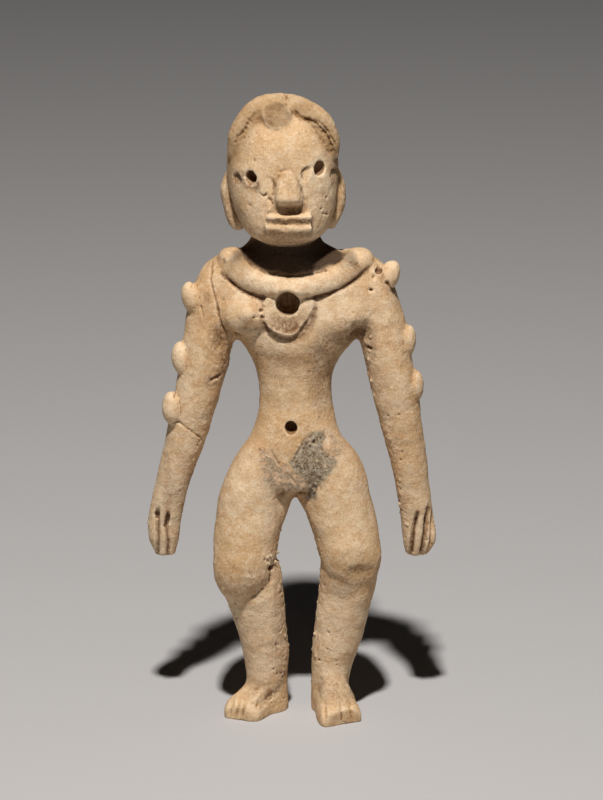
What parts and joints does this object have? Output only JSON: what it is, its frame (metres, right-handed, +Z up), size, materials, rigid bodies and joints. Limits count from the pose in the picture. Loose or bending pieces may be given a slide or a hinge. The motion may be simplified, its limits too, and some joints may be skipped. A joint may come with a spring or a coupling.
{
  "type": "pottery figurine",
  "caption": "Standing female figurine of fired clay, arms hanging clear of the waist, with a rolled collar, a holed pendant and bean-shaped studs on the arms.",
  "frame": {"origin": "on the ground, under the middle of the figure's box", "axes": "+X to the right of someone who faces the figure, +Y towards its back, +Z up; the face looks towards -Y"},
  "size_m": [0.0812, 0.0348, 0.1801],
  "materials": {
    "fired_clay": "matt, bare, worn earthenware"
  },
  "bodies": {
    "root": {"figurine": "fired_clay"}
  },
  "joints": []
}
